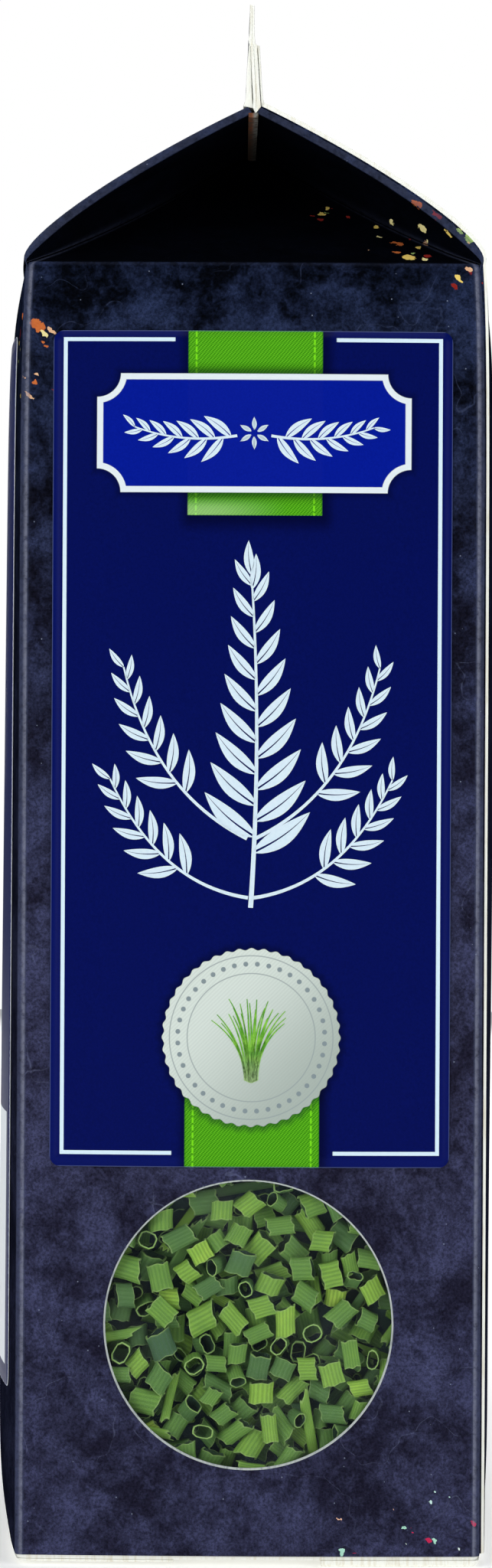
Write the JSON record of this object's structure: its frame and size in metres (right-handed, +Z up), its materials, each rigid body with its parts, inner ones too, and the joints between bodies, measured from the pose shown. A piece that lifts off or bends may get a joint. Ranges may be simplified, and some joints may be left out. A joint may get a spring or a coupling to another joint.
{
  "type": "gable-top carton of chopped chives",
  "caption": "Sealed square gable-top board carton with a round clear window low on its front, full of chopped dried chives, with a paper label on the front and one on the side.",
  "frame": {"origin": "centre of the carton's base, on the surface that it stands on", "axes": "+Z up. -Y is the front, the gable end with the window and the label, and the fin along the top runs along Y. +X is to the right, seen from the front."},
  "size_m": [0.0796, 0.0732, 0.2384],
  "materials": {
    "printed_board": "coated board printed dark slate, soft gloss, with cream unprinted board at its cut edges, fin and underside",
    "label_paper": "coated paper printed navy, soft gloss",
    "clear_film": "clear glossy film",
    "dried_chive": "dry and matt, faintly ribbed, from dark to pale green"
  },
  "bodies": {
    "root": {"carton": "printed_board", "window_film": "clear_film", "front_label": "label_paper", "side_label": "label_paper", "chopped_chives": "dried_chive"}
  },
  "joints": []
}
